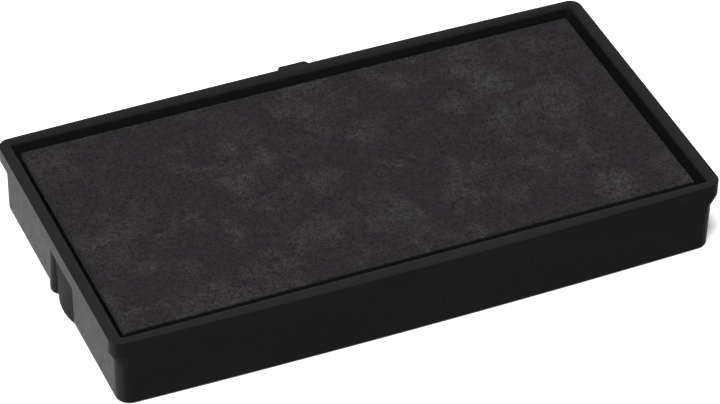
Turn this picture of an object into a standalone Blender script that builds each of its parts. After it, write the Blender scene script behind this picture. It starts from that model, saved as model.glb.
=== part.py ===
"""Ink cartridge for a self-inking stamp: a moulded tray, the felt that stores the ink, and the
cloth on top of it that the stamp's text plate touches.

Units are metres. +X runs along the tray's length, +Y towards the long wall with the stop tab,
and +Z is up. The origin is the middle of the footprint, on the surface the tray stands on.
"""

import math

import bmesh
import bpy

MM = 0.001

# Outside of the tray
LENGTH_OVER_LIPS = 80.0 * MM
BODY_LENGTH = 78.66 * MM  # at the top of the body, under the lips
CORNER_WIDTH = 41.32 * MM  # across the long walls, at the corners
FRONT_CROWN = 0.71 * MM  # how far the long front wall bows out at its middle
BACK_CROWN = 0.37 * MM
HEIGHT = 9.9 * MM
DRAFT = 0.16 * MM  # how much each end wall leans in over its height, down to the base
CROWN_AT_BASE = 0.77  # share of the crown that is left at the base
BODY_CORNER_RADIUS = 1.8 * MM
LIP_CORNER_RADIUS = 1.5 * MM
BASE_EDGE_RADIUS = 0.3 * MM
RIM_EDGE_WIDTH = 0.55 * MM  # the rim's outer edge is a flat quarter of an ellipse
RIM_EDGE_HEIGHT = 0.13 * MM

# End lips: an upright face, then a slope back to the wall
LIP_FACE_HEIGHT = 2.2 * MM
LIP_SLOPE_HEIGHT = 1.5 * MM

# Inside of the tray
CAVITY_LENGTH = 76.8 * MM
CAVITY_WIDTH = 39.0 * MM
CAVITY_CORNER_RADIUS = 0.4 * MM
FLOOR_THICKNESS = 1.2 * MM
FLOOR_EDGE_RADIUS = 0.3 * MM
MOUTH_EDGE_RADIUS = 0.55 * MM

# Underside: a narrow land all round a shallow recess, with the moulding gate's well in it
LAND_WIDTH = 2.4 * MM
RECESS_DEPTH = 0.4 * MM
GATE_WELL_RADIUS = 1.6 * MM
GATE_WELL_DEPTH = 0.3 * MM

# Click rib and bulge on each end wall: middle along Y, half width, how proud at the foot and
# under the lip, foot's radius
CLICK_RIB = (2.28 * MM, 1.01 * MM, 0.54 * MM, 0.34 * MM, 0.4 * MM)
CLICK_BULGE = (-1.9 * MM, 2.75 * MM, 0.48 * MM, 0.10 * MM, 0.3 * MM)
CLICK_ROOT = 0.5 * MM  # how deep they are sunk in the wall

# Stop tab, in the middle of the back wall at rim level
TAB_WIDTH = 4.2 * MM
TAB_HEIGHT = 2.2 * MM
TAB_PROUD = 0.46 * MM
TAB_FLANK = 0.35 * MM  # how far each flank leans in

# Ink felt and face cloth
FELT_LENGTH = 74.9 * MM
FELT_WIDTH = 36.3 * MM
FACE_BELOW_RIM = 0.8 * MM
CLOTH_THICKNESS = 0.8 * MM
GAP = 0.3 * MM
SOFT_CORNER_RADIUS = 0.4 * MM
SOFT_EDGE_RADIUS = 0.12 * MM

# Locating ribs that centre the felt, well below its face
LOCATING_RIB_WIDTH = 1.0 * MM
LOCATING_RIB_TOP = 6.0 * MM
LOCATING_RIB_CHAMFER = 0.6 * MM
LONG_WALL_RIBS_X = (-26.0 * MM, 0.0, 26.0 * MM)
END_WALL_RIBS_Y = (-10.0 * MM, 10.0 * MM)

CORNER_STEPS = 8
LONG_SIDE_STEPS = 24
FILLET_STEPS = 4
CLICK_STEPS = 12

TRAY_BLACK = (0.016, 0.0162, 0.0155, 1.0)
FELT_BLACK = (0.020, 0.019, 0.024, 1.0)
CLOTH_BLACK = (0.034, 0.031, 0.038, 1.0)


def clear_scene():
    for existing in list(bpy.data.objects):
        bpy.data.objects.remove(existing, do_unlink=True)


def make_material(name, color, roughness):
    material = bpy.data.materials.new(name)
    material.use_nodes = True
    shader = material.node_tree.nodes["Principled BSDF"]
    shader.inputs["Base Color"].default_value = color
    shader.inputs["Roughness"].default_value = roughness
    shader.inputs["Metallic"].default_value = 0.0
    return material


def add_object(name, bm, material=None, smooth_under_degrees=35.0):
    """Turns a bmesh into an object in the scene, smooth except across its sharp edges."""
    bmesh.ops.recalc_face_normals(bm, faces=bm.faces)
    mesh = bpy.data.meshes.new(name)
    bm.to_mesh(mesh)
    bm.free()
    mesh.shade_smooth()
    mesh.set_sharp_from_angle(angle=math.radians(smooth_under_degrees))
    new_object = bpy.data.objects.new(name, mesh)
    bpy.context.scene.collection.objects.link(new_object)
    if material is not None:
        mesh.materials.append(material)
    return new_object


def add_helper(name, bm):
    """An object that only serves a Boolean."""
    helper = add_object(name, bm)
    helper.hide_render = True
    helper.display_type = "WIRE"
    return helper


def combine(target, helper, operation):
    modifier = target.modifiers.new(helper.name, "BOOLEAN")
    modifier.operation = operation
    modifier.solver = "EXACT"
    modifier.object = helper


def crown_shift(x, y, half_length, crown):
    """How far the bow of the long walls moves a point of the outline along Y."""
    bow = crown * (1.0 - (x / half_length) ** 2)
    return bow * (-FRONT_CROWN if y < 0.0 else BACK_CROWN)


def outline(half_length, half_width, radius, crown):
    """Points of a rounded rectangle with bowed long sides, anticlockwise from the front left."""
    straight_x = half_length - radius
    straight_y = half_width - radius
    corners = ((1, -1, -90), (1, 1, 0), (-1, 1, 90), (-1, -1, 180))
    points = []
    for sign_x, sign_y, start_degrees in corners:
        if sign_x * sign_y < 0:
            for step in range(1, LONG_SIDE_STEPS):
                along = 2.0 * step / LONG_SIDE_STEPS - 1.0
                points.append((sign_x * along * straight_x, sign_y * half_width))
        for step in range(CORNER_STEPS + 1):
            angle = math.radians(start_degrees + 90.0 * step / CORNER_STEPS)
            x = sign_x * straight_x + radius * math.cos(angle)
            y = sign_y * straight_y + radius * math.sin(angle)
            points.append((x, y))
    return [(x, y + crown_shift(x, y, half_length, crown)) for x, y in points]


def add_ring(bm, z, half_length, half_width, radius, crown=1.0):
    plan = outline(half_length, half_width, radius, crown)
    return [bm.verts.new((x, y, z)) for x, y in plan]


def bridge(bm, rings):
    """Joins each ring of points to the next with a band of quads."""
    for lower, upper in zip(rings, rings[1:]):
        count = len(lower)
        for index in range(count):
            after = (index + 1) % count
            bm.faces.new((lower[index], lower[after], upper[after], upper[index]))


def lean(z):
    """How far a drafted outer wall stands in from its place at the top."""
    return DRAFT * (1.0 - z / HEIGHT)


def crown_share(z):
    """How much of the crown the outer walls have at a height."""
    return 1.0 - (1.0 - CROWN_AT_BASE) * (1.0 - z / HEIGHT)


def quarter_round(width, height=None):
    """(in, up) along a quarter of a circle or ellipse, from a level edge to an upright one."""
    for step in range(FILLET_STEPS + 1):
        angle = math.radians(90.0 * step / FILLET_STEPS)
        yield width * (1.0 - math.sin(angle)), (height or width) * (1.0 - math.cos(angle))


def outer_rings(bm):
    """From the edge of the base up over the body, the lip and the rim's outer edge."""
    half_length = BODY_LENGTH / 2
    half_width = CORNER_WIDTH / 2
    lip_half_length = LENGTH_OVER_LIPS / 2
    slope_top = HEIGHT - LIP_FACE_HEIGHT
    slope_bottom = slope_top - LIP_SLOPE_HEIGHT
    rings = []

    def wall_ring(z, ring_half_length, inset, corner):
        share = crown_share(z)
        rings.append(add_ring(bm, z, ring_half_length, half_width - inset, corner, share))

    for inset, z in quarter_round(BASE_EDGE_RADIUS):
        wall_ring(z, half_length - inset - lean(z), inset, BODY_CORNER_RADIUS - inset)
    wall_ring(slope_bottom, half_length - lean(slope_bottom), 0.0, BODY_CORNER_RADIUS)
    wall_ring(slope_top, lip_half_length, 0.0, LIP_CORNER_RADIUS)
    for inset, drop in reversed(list(quarter_round(RIM_EDGE_WIDTH, RIM_EDGE_HEIGHT))):
        wall_ring(HEIGHT - drop, lip_half_length - inset, inset, LIP_CORNER_RADIUS - inset)
    return rings


def inner_rings(bm):
    """From the rim's inner edge down to the floor."""
    half_length = CAVITY_LENGTH / 2
    half_width = CAVITY_WIDTH / 2
    floor_top = RECESS_DEPTH + FLOOR_THICKNESS
    rings = []
    for inset, drop in quarter_round(MOUTH_EDGE_RADIUS):
        rings.append(
            add_ring(
                bm,
                HEIGHT - drop,
                half_length + inset,
                half_width + inset,
                CAVITY_CORNER_RADIUS + inset,
                crown=0.0,
            )
        )
    for inset, rise in reversed(list(quarter_round(FLOOR_EDGE_RADIUS))):
        rings.append(
            add_ring(
                bm,
                floor_top + rise,
                half_length - inset,
                half_width - inset,
                CAVITY_CORNER_RADIUS - inset,
                crown=0.0,
            )
        )
    return rings


def underside_rings(bm):
    """From the middle recess out to the land that the tray stands on."""
    half_length = BODY_LENGTH / 2 - DRAFT - LAND_WIDTH
    half_width = CORNER_WIDTH / 2 - LAND_WIDTH
    step = RECESS_DEPTH
    recess = add_ring(bm, RECESS_DEPTH, half_length - step, half_width - step, 1.0 * MM)
    land = add_ring(bm, 0.0, half_length, half_width, 1.4 * MM)
    return [recess, land]


def add_click_shape(bm, middle_y, half_width, proud, proud_at_lip, foot_radius):
    """An upright rounded rib on the left end wall, from its foot up into the lip."""
    slope_bottom = HEIGHT - LIP_FACE_HEIGHT - LIP_SLOPE_HEIGHT
    levels = list(quarter_round(foot_radius))
    levels.append((0.0, HEIGHT - LIP_FACE_HEIGHT))
    radius = (half_width**2 + proud**2) / (2.0 * proud)
    half_angle = math.asin(half_width / radius)
    rings = []
    for inset, z in levels:
        wall_x = -(BODY_LENGTH / 2 - lean(z))
        share = 1.0 - (1.0 - proud_at_lip / proud) * z / slope_bottom
        ring = []
        for step in range(CLICK_STEPS + 1):
            angle = half_angle * (1.0 - 2.0 * step / CLICK_STEPS)
            out = share * (radius * math.cos(angle) - (radius - proud)) - inset
            y = middle_y + radius * math.sin(angle)
            ring.append(bm.verts.new((wall_x - max(out, -0.2 * MM), y, z)))
        for side in (-1, 1):
            y = middle_y + side * half_width
            ring.append(bm.verts.new((wall_x + CLICK_ROOT, y, z)))
        rings.append(ring)
    bridge(bm, rings)
    bm.faces.new(rings[0])
    bm.faces.new(rings[-1])


def make_click_shapes():
    """The rib and the bulge on the left end wall, and the same mirrored on the right."""
    bm = bmesh.new()
    for shape in (CLICK_RIB, CLICK_BULGE):
        add_click_shape(bm, *shape)
    left = bm.verts[:] + bm.edges[:] + bm.faces[:]
    copy = bmesh.ops.duplicate(bm, geom=left)
    for element in copy["geom"]:
        if isinstance(element, bmesh.types.BMVert):
            element.co.x = -element.co.x
    return add_helper("click_shapes", bm)


def make_stop_tab():
    """A low block with leaning flanks, flush with the top of the rim."""
    bm = bmesh.new()
    wall_y = CORNER_WIDTH / 2 + BACK_CROWN
    foot = TAB_WIDTH / 2
    plan = (
        (-foot, wall_y - 0.6 * MM),
        (foot, wall_y - 0.6 * MM),
        (foot, wall_y - 0.05 * MM),
        (foot - TAB_FLANK, wall_y + TAB_PROUD),
        (TAB_FLANK - foot, wall_y + TAB_PROUD),
        (-foot, wall_y - 0.05 * MM),
    )
    bottom = [bm.verts.new((x, y, HEIGHT - TAB_HEIGHT)) for x, y in plan]
    top = [bm.verts.new((x, y, HEIGHT - 0.02 * MM)) for x, y in plan]
    bridge(bm, [bottom, top])
    bm.faces.new(bottom)
    bm.faces.new(top)
    return add_helper("stop_tab", bm)


def add_locating_rib(bm, wall, out, reach):
    """A rib with a sloped top: wall is its point on the cavity wall, out points at the felt."""
    across = (-out[1], out[0])
    bottom = RECESS_DEPTH + FLOOR_THICKNESS / 2
    profile = (
        (-0.3 * MM, bottom),
        (reach, bottom),
        (reach, LOCATING_RIB_TOP - LOCATING_RIB_CHAMFER),
        (reach - LOCATING_RIB_CHAMFER, LOCATING_RIB_TOP),
        (-0.3 * MM, LOCATING_RIB_TOP),
    )
    sides = []
    for side in (-LOCATING_RIB_WIDTH / 2, LOCATING_RIB_WIDTH / 2):
        ring = []
        for along, z in profile:
            x = wall[0] + out[0] * along + across[0] * side
            y = wall[1] + out[1] * along + across[1] * side
            ring.append(bm.verts.new((x, y, z)))
        sides.append(ring)
    bridge(bm, sides)
    for ring in sides:
        bm.faces.new(ring)


def make_locating_ribs():
    bm = bmesh.new()
    end_x = CAVITY_LENGTH / 2
    side_y = CAVITY_WIDTH / 2
    end_reach = (CAVITY_LENGTH - FELT_LENGTH) / 2 - GAP
    side_reach = (CAVITY_WIDTH - FELT_WIDTH) / 2 - GAP
    for sign in (-1, 1):
        for x in LONG_WALL_RIBS_X:
            add_locating_rib(bm, (x, sign * side_y), (0, -sign), side_reach)
        for y in END_WALL_RIBS_Y:
            add_locating_rib(bm, (sign * end_x, y), (-sign, 0), end_reach)
    return add_helper("locating_ribs", bm)


def make_gate_well():
    bm = bmesh.new()
    bmesh.ops.create_cone(
        bm,
        cap_ends=True,
        segments=32,
        radius1=GATE_WELL_RADIUS,
        radius2=GATE_WELL_RADIUS * 0.8,
        depth=2.0 * GATE_WELL_DEPTH,
    )
    bmesh.ops.translate(bm, verts=bm.verts, vec=(0.0, 0.0, RECESS_DEPTH))
    return add_helper("gate_well", bm)


def make_tray():
    bm = bmesh.new()
    rings = underside_rings(bm) + outer_rings(bm) + inner_rings(bm)
    bridge(bm, rings)
    bm.faces.new(rings[0])
    bm.faces.new(rings[-1])
    tray = add_object("cartridge_tray", bm, make_material("tray_plastic", TRAY_BLACK, 0.42))
    combine(tray, make_click_shapes(), "UNION")
    combine(tray, make_stop_tab(), "UNION")
    combine(tray, make_locating_ribs(), "UNION")
    combine(tray, make_gate_well(), "DIFFERENCE")
    return tray


def make_soft_layer(name, bottom, top, material):
    """A flat layer cut to the felt's plan, with barely rounded edges."""
    bm = bmesh.new()
    rings = []
    below = [(inset, bottom + rise) for inset, rise in quarter_round(SOFT_EDGE_RADIUS)]
    above = [(inset, top - rise) for inset, rise in quarter_round(SOFT_EDGE_RADIUS)]
    for inset, z in below + above[::-1]:
        rings.append(
            add_ring(
                bm,
                z,
                FELT_LENGTH / 2 - inset,
                FELT_WIDTH / 2 - inset,
                SOFT_CORNER_RADIUS - inset,
                crown=0.0,
            )
        )
    bridge(bm, rings)
    bm.faces.new(rings[0])
    bm.faces.new(rings[-1])
    return add_object(name, bm, material)


def make_felt_and_cloth():
    cloth_top = HEIGHT - FACE_BELOW_RIM
    cloth_bottom = cloth_top - CLOTH_THICKNESS
    felt_bottom = RECESS_DEPTH + FLOOR_THICKNESS + GAP
    felt = make_material("inked_felt", FELT_BLACK, 0.9)
    cloth = make_material("inked_cloth", CLOTH_BLACK, 0.85)
    make_soft_layer("reservoir_felt", felt_bottom, cloth_bottom - GAP, felt)
    make_soft_layer("face_cloth", cloth_bottom, cloth_top, cloth)


clear_scene()
make_tray()
make_felt_and_cloth()
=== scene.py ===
"""Looks of the ink cartridge: moulded tray, reservoir felt and napped face cloth, on a pale floor."""

import math

import bmesh
import bpy
import numpy as np
from mathutils import Matrix, Vector


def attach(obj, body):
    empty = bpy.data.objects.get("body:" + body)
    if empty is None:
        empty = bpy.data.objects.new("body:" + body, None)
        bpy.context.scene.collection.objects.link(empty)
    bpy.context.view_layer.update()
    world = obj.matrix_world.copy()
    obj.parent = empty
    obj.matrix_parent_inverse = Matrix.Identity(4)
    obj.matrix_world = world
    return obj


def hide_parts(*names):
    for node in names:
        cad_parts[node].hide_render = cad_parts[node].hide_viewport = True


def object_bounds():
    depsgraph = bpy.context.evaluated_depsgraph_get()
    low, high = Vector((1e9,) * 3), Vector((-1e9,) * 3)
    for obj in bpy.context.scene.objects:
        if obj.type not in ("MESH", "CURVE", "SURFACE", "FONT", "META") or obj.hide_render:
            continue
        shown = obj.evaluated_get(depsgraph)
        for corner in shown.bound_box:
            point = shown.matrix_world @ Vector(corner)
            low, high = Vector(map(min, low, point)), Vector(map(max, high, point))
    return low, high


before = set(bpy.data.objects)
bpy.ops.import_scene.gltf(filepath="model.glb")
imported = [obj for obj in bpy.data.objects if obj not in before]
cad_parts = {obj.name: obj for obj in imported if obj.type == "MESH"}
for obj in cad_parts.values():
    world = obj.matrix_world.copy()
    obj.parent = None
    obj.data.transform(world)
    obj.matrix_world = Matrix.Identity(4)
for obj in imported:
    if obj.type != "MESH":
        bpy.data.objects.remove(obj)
cad_low, cad_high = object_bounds()

MM = 0.001
TRAY = "cartridge_tray"
FELT = "reservoir_felt"
CLOTH = "face_cloth"

# Camera: lens in millimetres, place in metres, and axes in the CAD frame
SENSOR_MM = 36.0
LENS_MM = 185.595
CAMERA_PLACE = Vector((-0.145512, -0.326527, 0.296472))
CAMERA_RIGHT = Vector((0.918254, -0.395654, 0.016356))
CAMERA_FORWARD = Vector((0.315531, 0.706093, -0.633934))

# Brightness of the world below the horizon, by degrees round from -X towards the front (-Y)
LOW_GLOW = (
    (-150.0, 0.30),
    (-118.0, 0.95),
    (-95.0, 0.76),
    (-66.0, 0.58),
    (-52.0, 0.45),
    (-38.0, 0.38),
    (15.0, 0.38),
    (42.0, 0.04),
    (140.0, 0.02),
)
RIGHT_GLOW = 0.2  # below the horizon towards +X
NADIR_GLOW = 0.12  # straight down
HIGH_GLOW = 0.21  # above the horizon
HIGH_TINT = (1.01, 1.0, 0.96)

# Heights on the unit sphere where one brightness fades into the next
NADIR_FADE = (-0.72, -0.88)
HORIZON_FADE = (-0.22, 0.16)

# The one light: place in metres, aimed at the origin, diameter in metres and power in watts
KEY_PLACE = (-0.23, -0.25, 1.0)
KEY_SIZE = 0.42
KEY_POWER = 17.8

# Cut edges of the face cloth and the felt block, and their faces' heights, in millimetres
CLOTH_LOW = (-37.50, -18.24)
CLOTH_HIGH = (37.28, 18.24)
CLOTH_TOP = 9.09
CLOTH_BOTTOM = 8.25
FELT_LOW = (-37.4, -18.05)
FELT_HIGH = (37.2, 18.0)
FELT_TOP = 8.2  # on average: its relief pokes up to 0.25 mm into the cloth, out of sight
FELT_BOTTOM = 1.75

# How make_layer shapes the cut edges, in millimetres
RELIEF_FADE = 0.4  # the relief dies away this close to an edge
RELIEF_AT_EDGE = 0.15  # share of the relief that is left at the edge
WAVER_REACH = 0.7  # how far in from an edge its waver is felt
WAVER_FINE = 1.1
WAVER_BROAD = 5.0
SIDE_ROW = 0.35
SIDE_SWELL = 0.04
CORNER_SLACK = 0.02
RAGGED_STEPS = 2.6  # wavelength on the cut sides, in grid steps

# Where the material masks fade from 0 to 1, in millimetres from the origin
BULGE_END = (39.1, 39.3)
BULGE_MIDDLE_Y = -1.9
BULGE_HALF_WIDTH = (2.78, 2.68)
BULGE_TOP = (6.4, 6.15)
# the cavity stops mark the inner walls, where light is painted into the colour
CAVITY_END = (38.9, 38.7)
CAVITY_SIDE = (20.1, 19.9)
CAVITY_TOP = (9.75, 9.3)
CAVITY_BOTTOM = (0.9, 1.0)
# the cloth cut stop marks its cut sides, darkened for the inked edge and with painted shade
CLOTH_CUT = (9.0, 8.9)

# Roughness of the bulges, as a colour because it is mixed with one
BULGE_ROUGHNESS = (0.55, 0.55, 0.55, 1.0)

# Places where the nap is worn paler: X, Y and radius in millimetres, and strength
PALE_PATCHES = (
    (-34.0, 14.5, 1.8, 0.5),
    (-13.5, 9.5, 2.6, 0.6),
    (-14.5, 2.8, 3.0, 0.9),
    (-9.8, 6.0, 2.2, 0.7),
    (-22.5, -1.5, 1.9, 0.6),
    (-18.6, -7.0, 1.9, 0.7),
    (-16.8, -11.4, 1.8, 0.5),
    (-8.0, -8.0, 2.0, 0.6),
    (-30.5, -8.0, 1.8, 0.5),
    (-25.0, -15.0, 2.0, 0.5),
    (-4.3, 13.4, 1.8, 0.5),
    (5.0, -1.6, 1.8, 0.7),
    (5.0, 5.8, 2.0, 0.4),
    (12.0, 14.0, 2.4, 0.6),
    (20.3, 13.0, 2.3, 0.8),
    (22.3, 9.6, 3.4, 1.0),
    (16.4, 7.0, 2.4, 0.6),
    (24.5, 2.8, 2.2, 0.6),
    (13.9, -6.0, 2.0, 0.6),
    (22.5, -5.0, 2.2, 0.5),
    (24.5, -8.0, 2.0, 0.6),
    (11.4, -10.4, 2.0, 0.5),
    (28.3, -15.2, 3.0, 1.0),
    (8.9, -17.2, 1.8, 0.6),
)

# Linear colours
TRAY_COLOR = (0.0073, 0.0071, 0.0071, 1.0)
TRAY_PALE = (0.0083, 0.0081, 0.0080, 1.0)
# painted light: the walls inside the tray get this paler colour in place of light reaching them
CAVITY_PAINTED_LIGHT = (0.0125, 0.0122, 0.0126, 1.0)
CLOTH_DARK = (0.0070, 0.0062, 0.0071, 1.0)
CLOTH_VIOLET = (0.0190, 0.0171, 0.0200, 1.0)
CLOTH_BROWN = (0.0198, 0.0178, 0.0183, 1.0)
CLOTH_PALE = (0.0420, 0.0396, 0.0406, 1.0)
# cut sides of the cloth: darker for the ink-soaked edge and as painted shade in the gap by the tray
# walls
CLOTH_SIDE_INK_AND_SHADE = (0.0040, 0.0037, 0.0041, 1.0)
FELT_COLOR = (0.0100, 0.0092, 0.0110, 1.0)
FLOOR_COLOR = (0.93, 0.93, 0.925, 1.0)
FLOOR_GLOW = 0.32  # keeps the shadow beside the tray pale
FLOOR_SIZE = 12.0  # metres
FLOOR_GAP = 0.00002  # metres below the tray


# ---------------------------------------------------------------- camera, lights, floor


def make_camera():
    data = bpy.data.cameras.new("camera")
    data.sensor_width = SENSOR_MM
    data.lens = LENS_MM
    data.clip_start = 0.01
    data.clip_end = 50.0
    camera = bpy.data.objects.new("camera", data)
    back = -CAMERA_FORWARD.normalized()
    right = (CAMERA_RIGHT - CAMERA_RIGHT.dot(back) * back).normalized()
    up = back.cross(right)
    turn = Matrix((right, up, back)).transposed()
    camera.matrix_world = Matrix.Translation(CAMERA_PLACE) @ turn.to_4x4()
    bpy.context.scene.collection.objects.link(camera)
    bpy.context.scene.camera = camera


class Nodes:
    """A short way to add and join shader nodes."""

    def __init__(self, tree):
        self.tree = tree

    def add(self, kind, inputs=None, **settings):
        node = self.tree.nodes.new(kind)
        for name, value in settings.items():
            setattr(node, name, value)
        for name, value in (inputs or {}).items():
            self.feed(node, name, value)
        return node

    def feed(self, node, name, value):
        if isinstance(value, bpy.types.NodeSocket):
            self.tree.links.new(value, node.inputs[name])
        elif isinstance(value, bpy.types.Node):
            self.tree.links.new(value.outputs[0], node.inputs[name])
        else:
            node.inputs[name].default_value = value

    def math(self, operation, *values, clamp=False):
        inputs = dict(enumerate(values))
        return self.add("ShaderNodeMath", inputs, operation=operation, use_clamp=clamp)

    def step(self, value, low, high, to_low=0.0, to_high=1.0):
        """Smooth step of value from low to high."""
        inputs = {"Value": value, "From Min": low, "From Max": high}
        inputs.update({"To Min": to_low, "To Max": to_high})
        return self.add("ShaderNodeMapRange", inputs, interpolation_type="SMOOTHSTEP")

    def mix(self, factor, first, second):
        node = self.add("ShaderNodeMix", data_type="RGBA")
        self.feed(node, 0, factor)
        self.feed(node, 6, first)
        self.feed(node, 7, second)
        return node.outputs[2]

    def noise(self, where, scale, detail=2.0, roughness=0.5, distortion=0.0):
        inputs = {"Vector": where, "Scale": scale, "Detail": detail}
        inputs.update({"Roughness": roughness, "Distortion": distortion})
        return self.add("ShaderNodeTexNoise", inputs).outputs["Fac"]

    def millimetres(self, stretch=(1.0, 1.0, 1.0), shift=(0.0, 0.0, 0.0)):
        """Object coordinates in millimetres."""
        place = self.add("ShaderNodeTexCoord").outputs["Object"]
        scale = tuple(1000.0 * factor for factor in stretch)
        return self.add("ShaderNodeMapping", {"Vector": place, "Scale": scale, "Location": shift})


def make_world():
    """Grey above the horizon; below it brightest behind, dimmer on the left, dark in front."""
    world = bpy.data.worlds.new("studio")
    world.use_nodes = True
    bpy.context.scene.world = world
    tree = world.node_tree
    tree.nodes.clear()
    n = Nodes(tree)
    toward = n.add("ShaderNodeTexCoord").outputs["Generated"]
    split = n.add("ShaderNodeSeparateXYZ", {"Vector": toward})
    x, y, z = split.outputs
    to_left = n.math("ARCTAN2", n.math("MULTIPLY", y, -1.0), n.math("MULTIPLY", x, -1.0))
    turn = n.math("ADD", n.math("MULTIPLY", to_left, 0.5 / math.pi), 0.5)
    ramp = n.add("ShaderNodeValToRGB", {"Fac": turn})
    ramp.color_ramp.interpolation = "EASE"
    stops = ramp.color_ramp.elements
    for stop, position in zip(stops, (0.0, 1.0)):
        stop.position = position
        stop.color = (RIGHT_GLOW, RIGHT_GLOW, RIGHT_GLOW, 1.0)
    for degrees, level in LOW_GLOW:
        stop = stops.new(degrees / 360.0 + 0.5)
        stop.color = (level, level, level, 1.0)
    nadir = (NADIR_GLOW, NADIR_GLOW, NADIR_GLOW, 1.0)
    low = n.mix(n.step(z, *NADIR_FADE), ramp.outputs["Color"], nadir)
    high = tuple(HIGH_GLOW * tint for tint in HIGH_TINT) + (1.0,)
    glow = n.mix(n.step(z, *HORIZON_FADE), low, high)
    background = n.add("ShaderNodeBackground", {"Color": glow, "Strength": 1.0})
    n.add("ShaderNodeOutputWorld", {"Surface": background})


def make_key():
    """A large soft light that only lights: it makes no highlights."""
    data = bpy.data.lights.new("key", "AREA")
    data.shape = "DISK"
    data.size = KEY_SIZE
    data.energy = KEY_POWER
    light = bpy.data.objects.new("key", data)
    light.location = KEY_PLACE
    light.rotation_euler = (-Vector(KEY_PLACE)).to_track_quat("-Z", "Y").to_euler()
    light.visible_glossy = False
    bpy.context.scene.collection.objects.link(light)


def make_floor():
    """A pale matt floor that glows slightly and stays out of the tray's reflections."""
    bm = bmesh.new()
    bmesh.ops.create_grid(bm, x_segments=4, y_segments=4, size=FLOOR_SIZE)
    mesh = bpy.data.meshes.new("floor")
    bm.to_mesh(mesh)
    bm.free()
    floor = bpy.data.objects.new("floor", mesh)
    bpy.context.scene.collection.objects.link(floor)
    floor.location.z = cad_low.z - FLOOR_GAP
    material = bpy.data.materials.new("floor_paper")
    material.use_nodes = True
    shader = material.node_tree.nodes["Principled BSDF"]
    shader.inputs["Base Color"].default_value = FLOOR_COLOR
    shader.inputs["Roughness"].default_value = 0.9
    shader.inputs["Specular IOR Level"].default_value = 0.1
    shader.inputs["Emission Color"].default_value = FLOOR_COLOR
    shader.inputs["Emission Strength"].default_value = FLOOR_GLOW
    mesh.materials.append(material)
    floor.visible_glossy = False


# ---------------------------------------------------------------- soft pieces


def bumps(shape, wavelength, seed):
    """Repeatable bumps of about one wavelength, in grid steps, with a standard deviation of 1."""
    white = np.random.default_rng(seed).standard_normal(shape)
    rows = np.fft.fftfreq(shape[0])[:, None]
    columns = np.fft.rfftfreq(shape[1])[None, :]
    reach = np.hypot(rows, columns) * wavelength
    keep = reach**2 * np.exp(-(reach**2))
    field = np.fft.irfft2(np.fft.rfft2(white) * keep, shape)
    return field / field.std()


def ticks(low, high, spacing):
    """Grid lines from low to high, closer together next to both ends."""
    border = np.array([0.0, 0.03, 0.07, 0.12, 0.18, 0.26, 0.38])
    count = int(round((high - low - 2.0 * border[-1]) / spacing))
    middle = np.linspace(low + border[-1], high - border[-1], count + 1)
    return np.concatenate([low + border[:-1], middle, high - border[-2::-1]])


def make_layer(name, low, high, bottom, top, spacing, relief, fuzz, edge_radius):
    """A closed layer in millimetres: relief shapes its face, fuzz its cut sides."""
    xs = ticks(low[0], high[0], spacing)
    ys = ticks(low[1], high[1], spacing)
    x, y = np.meshgrid(xs, ys)
    sides = [x - low[0], high[0] - x, y - low[1], high[1] - y]
    inside = np.minimum.reduce(sides)
    height = sum(amount * bumps(x.shape, length / spacing, seed) for amount, length, seed in relief)
    height *= np.clip(inside / RELIEF_FADE, RELIEF_AT_EDGE, 1.0)
    off = np.clip(1.0 - inside / edge_radius, 0.0, 1.0)
    z = top + height - edge_radius * (1.0 - np.sqrt(1.0 - off**2))
    waver = fuzz * bumps(x.shape, WAVER_FINE / spacing, 91)
    waver = waver + fuzz * bumps(x.shape, WAVER_BROAD / spacing, 92)
    near = [np.exp(-side / WAVER_REACH) for side in sides]
    x = x + waver * (near[0] + near[1])
    y = y + waver * (near[2] + near[3])
    count_y, count_x = x.shape
    index = np.arange(x.size).reshape(x.shape)
    points = [np.stack([x.ravel(), y.ravel(), z.ravel()], axis=1)]
    corners = [index[:-1, :-1], index[:-1, 1:], index[1:, 1:], index[1:, :-1]]
    faces = np.stack([corner.ravel() for corner in corners], axis=1).tolist()
    loop = np.concatenate(
        [index[0, :-1], index[:-1, -1], index[-1, :0:-1], index[:0:-1, 0]]
    )
    border = points[0][loop]
    middle = np.array([(low[0] + high[0]) / 2, (low[1] + high[1]) / 2])
    out = np.sign(border[:, :2] - middle)
    near_x = np.minimum(border[:, 0] - low[0], high[0] - border[:, 0])
    near_y = np.minimum(border[:, 1] - low[1], high[1] - border[:, 1])
    out[:, 0] *= near_x < near_y + CORNER_SLACK
    out[:, 1] *= near_y < near_x + CORNER_SLACK
    rows = max(4, int(round((top - edge_radius - bottom) / SIDE_ROW)))
    ragged = bumps((rows + 4, len(loop)), RAGGED_STEPS, 93) * fuzz
    upper = loop
    for row in range(1, rows + 1):
        share = row / rows
        lower = np.arange(len(loop)) + sum(len(block) for block in points)
        ring = border.copy()
        ring[:, 2] += (bottom - border[:, 2]) * share
        swell = SIDE_SWELL * math.sin(math.pi * share)
        ring[:, :2] += out * (ragged[row][:, None] + swell)
        points.append(ring)
        after = np.roll(upper, -1), np.roll(lower, -1)
        faces += np.stack([upper, lower, after[1], after[0]], axis=1).tolist()
        upper = lower
    faces.append(upper[::-1].tolist())
    mesh = bpy.data.meshes.new(name)
    mesh.from_pydata((np.concatenate(points) * MM).tolist(), [], faces)
    mesh.shade_smooth()
    mesh.set_sharp_from_angle(angle=math.radians(70.0))
    piece = bpy.data.objects.new(name, mesh)
    bpy.context.scene.collection.objects.link(piece)
    return piece


def make_felt():
    relief = ((0.05, 1.6, 21), (0.06, 6.0, 22))
    felt = make_layer(
        "felt_block", FELT_LOW, FELT_HIGH, FELT_BOTTOM, FELT_TOP, 0.5, relief, 0.05, 0.25
    )
    felt.data.materials.append(felt_material())
    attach(felt, "root")
    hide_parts(FELT)
    return felt


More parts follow.
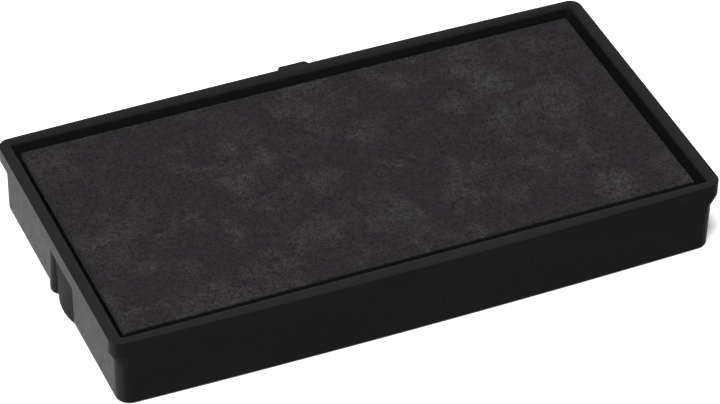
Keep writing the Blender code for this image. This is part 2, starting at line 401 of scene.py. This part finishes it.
def make_cloth(felt):
    relief = (
        (0.018, 0.45, 11),
        (0.018, 0.8, 12),
        (0.016, 1.8, 13),
        (0.018, 5.0, 14),
        (0.030, 18.0, 15),
    )
    cloth = make_layer(
        "napped_cloth", CLOTH_LOW, CLOTH_HIGH, CLOTH_BOTTOM, CLOTH_TOP, 0.2, relief, 0.01, 0.10
    )
    cloth.data.materials.append(cloth_material())
    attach(cloth, "root")
    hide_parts(CLOTH)


# ---------------------------------------------------------------- materials


def new_material(name, color, roughness):
    material = bpy.data.materials.new(name)
    material.use_nodes = True
    tree = material.node_tree
    shader = tree.nodes["Principled BSDF"]
    shader.inputs["Base Color"].default_value = color
    shader.inputs["Roughness"].default_value = roughness
    return material, Nodes(tree), shader


def bulge_mask(n, place):
    """1 on the coarse-textured bulges of the end walls, 0 elsewhere."""
    x, y, z = n.add("ShaderNodeSeparateXYZ", {"Vector": place}).outputs
    outside = n.step(n.math("ABSOLUTE", x), *BULGE_END)
    off_middle = n.math("ABSOLUTE", n.math("ADD", y, -BULGE_MIDDLE_Y))
    beside = n.step(off_middle, *BULGE_HALF_WIDTH)
    below_lip = n.step(z, *BULGE_TOP)
    return n.math("MULTIPLY", n.math("MULTIPLY", outside, beside), below_lip)


def cavity_light_mask(n, place):
    """1 on the walls inside the tray, up to the rounding of the mouth, where light is painted into
    the colour.
    """
    x, y, z = n.add("ShaderNodeSeparateXYZ", {"Vector": place}).outputs
    along = n.step(n.math("ABSOLUTE", x), *CAVITY_END)
    across = n.step(n.math("ABSOLUTE", y), *CAVITY_SIDE)
    height = n.math("MULTIPLY", n.step(z, *CAVITY_TOP), n.step(z, *CAVITY_BOTTOM))
    return n.math("MULTIPLY", n.math("MULTIPLY", along, across), height)


def tray_material():
    """Moulded plastic: nearly even, with faint flow streaks and a fine satin grain, and painted light
    that makes the walls inside the tray paler.
    """
    material, n, shader = new_material("moulded_plastic", TRAY_COLOR, 0.3)
    place = n.millimetres()
    flow = n.noise(n.millimetres((0.35, 1.0, 1.0)), 0.12, 3.0, 0.55, 0.6)
    blotch = n.noise(place, 0.9, 4.0, 0.6)
    tone = n.math("ADD", n.math("MULTIPLY", flow, 0.6), n.math("MULTIPLY", blotch, 0.4))
    black = n.mix(n.step(tone, 0.35, 0.65), TRAY_COLOR, TRAY_PALE)
    # painted light: the walls inside the tray are coloured paler than the rest of the tray
    n.feed(shader, "Base Color", n.mix(cavity_light_mask(n, place), black, CAVITY_PAINTED_LIGHT))
    satin = n.step(blotch, 0.3, 0.7, 0.27, 0.34)
    n.feed(shader, "Roughness", n.mix(bulge_mask(n, place), satin, BULGE_ROUGHNESS))
    fine = n.add("ShaderNodeBump", {"Strength": 0.08, "Distance": 0.00002})
    n.feed(fine, "Height", n.noise(place, 6.0, 2.0, 0.6))
    wave = n.add("ShaderNodeBump", {"Strength": 0.25, "Distance": 0.0001, "Normal": fine})
    n.feed(wave, "Height", n.noise(place, 0.5, 1.0, 0.5))
    n.feed(shader, "Normal", wave)
    return material


def cloth_material():
    """Black-inked nap: curly dark grain, broad clouds, and paler patches where it is brushed up; its
    cut sides are darker, for the inked edge and as painted shade in the gap by the tray walls.
    """
    material, n, shader = new_material("inked_nap", CLOTH_VIOLET, 0.9)
    place = n.millimetres()
    curl = n.noise(place, 1.9, 3.0, 0.62, 1.4)
    speck = n.noise(place, 4.6, 2.0, 0.65, 0.6)
    cloud = n.noise(place, 0.17, 5.0, 0.62, 0.5)
    hue = n.noise(place, 0.45, 2.0, 0.5, 0.3)
    shaken = n.add("ShaderNodeTexNoise", {"Vector": place, "Scale": 0.6, "Detail": 4.0})
    shift = n.add("ShaderNodeVectorMath", {0: shaken.outputs["Color"]}, operation="SUBTRACT")
    n.feed(shift, 1, (0.5, 0.5, 0.5))
    shift = n.add("ShaderNodeVectorMath", {0: shift, "Scale": 7.0}, operation="SCALE")
    moved = n.add("ShaderNodeVectorMath", {0: place, 1: shift}, operation="ADD")
    moved = n.add("ShaderNodeVectorMath", {0: moved, 1: (1.0, 1.0, 0.0)}, operation="MULTIPLY")
    brushed = n.step(cloud, 0.44, 0.72, 0.0, 0.66)
    for x, y, radius, strength in PALE_PATCHES:
        away = n.add("ShaderNodeVectorMath", {0: moved, 1: (x, y, 0.0)}, operation="DISTANCE")
        patch = n.step(away.outputs["Value"], 1.3 * radius, 0.0, 0.0, strength)
        brushed = n.math("MAXIMUM", brushed, patch)
    base = n.mix(n.step(hue, 0.35, 0.65), CLOTH_VIOLET, CLOTH_BROWN)
    pale = n.mix(brushed, base, CLOTH_PALE)
    dark = n.math("ADD", n.math("MULTIPLY", curl, 0.5), n.math("MULTIPLY", speck, 0.5))
    face = n.mix(n.step(dark, 0.61, 0.37), pale, CLOTH_DARK)
    height = n.add("ShaderNodeSeparateXYZ", {"Vector": place}).outputs["Z"]
    # painted shade, with the ink-soaked edge: the cut sides below CLOTH_CUT get a much darker colour
    n.feed(shader, "Base Color", n.mix(n.step(height, *CLOTH_CUT), face, CLOTH_SIDE_INK_AND_SHADE))
    shader.inputs["Specular IOR Level"].default_value = 0.25
    shader.inputs["Sheen Weight"].default_value = 0.05
    bump = n.add("ShaderNodeBump", {"Strength": 0.6, "Distance": 0.00006, "Height": dark})
    n.feed(shader, "Normal", bump)
    return material


def felt_material():
    """Dense felt soaked with ink: short fibres that mostly run level."""
    material, n, shader = new_material("inked_fibres", FELT_COLOR, 0.95)
    grain = n.noise(n.millimetres((1.0, 1.0, 2.5)), 2.5, 4.0, 0.65, 1.0)
    n.feed(shader, "Base Color", n.mix(grain, FELT_COLOR, CLOTH_DARK))
    shader.inputs["Specular IOR Level"].default_value = 0.2
    bump = n.add("ShaderNodeBump", {"Strength": 0.7, "Distance": 0.0001, "Height": grain})
    n.feed(shader, "Normal", bump)
    return material


# ---------------------------------------------------------------- run

make_camera()
make_world()
make_key()
make_floor()
bpy.context.scene.view_settings.view_transform = "Standard"

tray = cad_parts[TRAY]
tray.data.materials.clear()
tray.data.materials.append(tray_material())
make_cloth(make_felt())
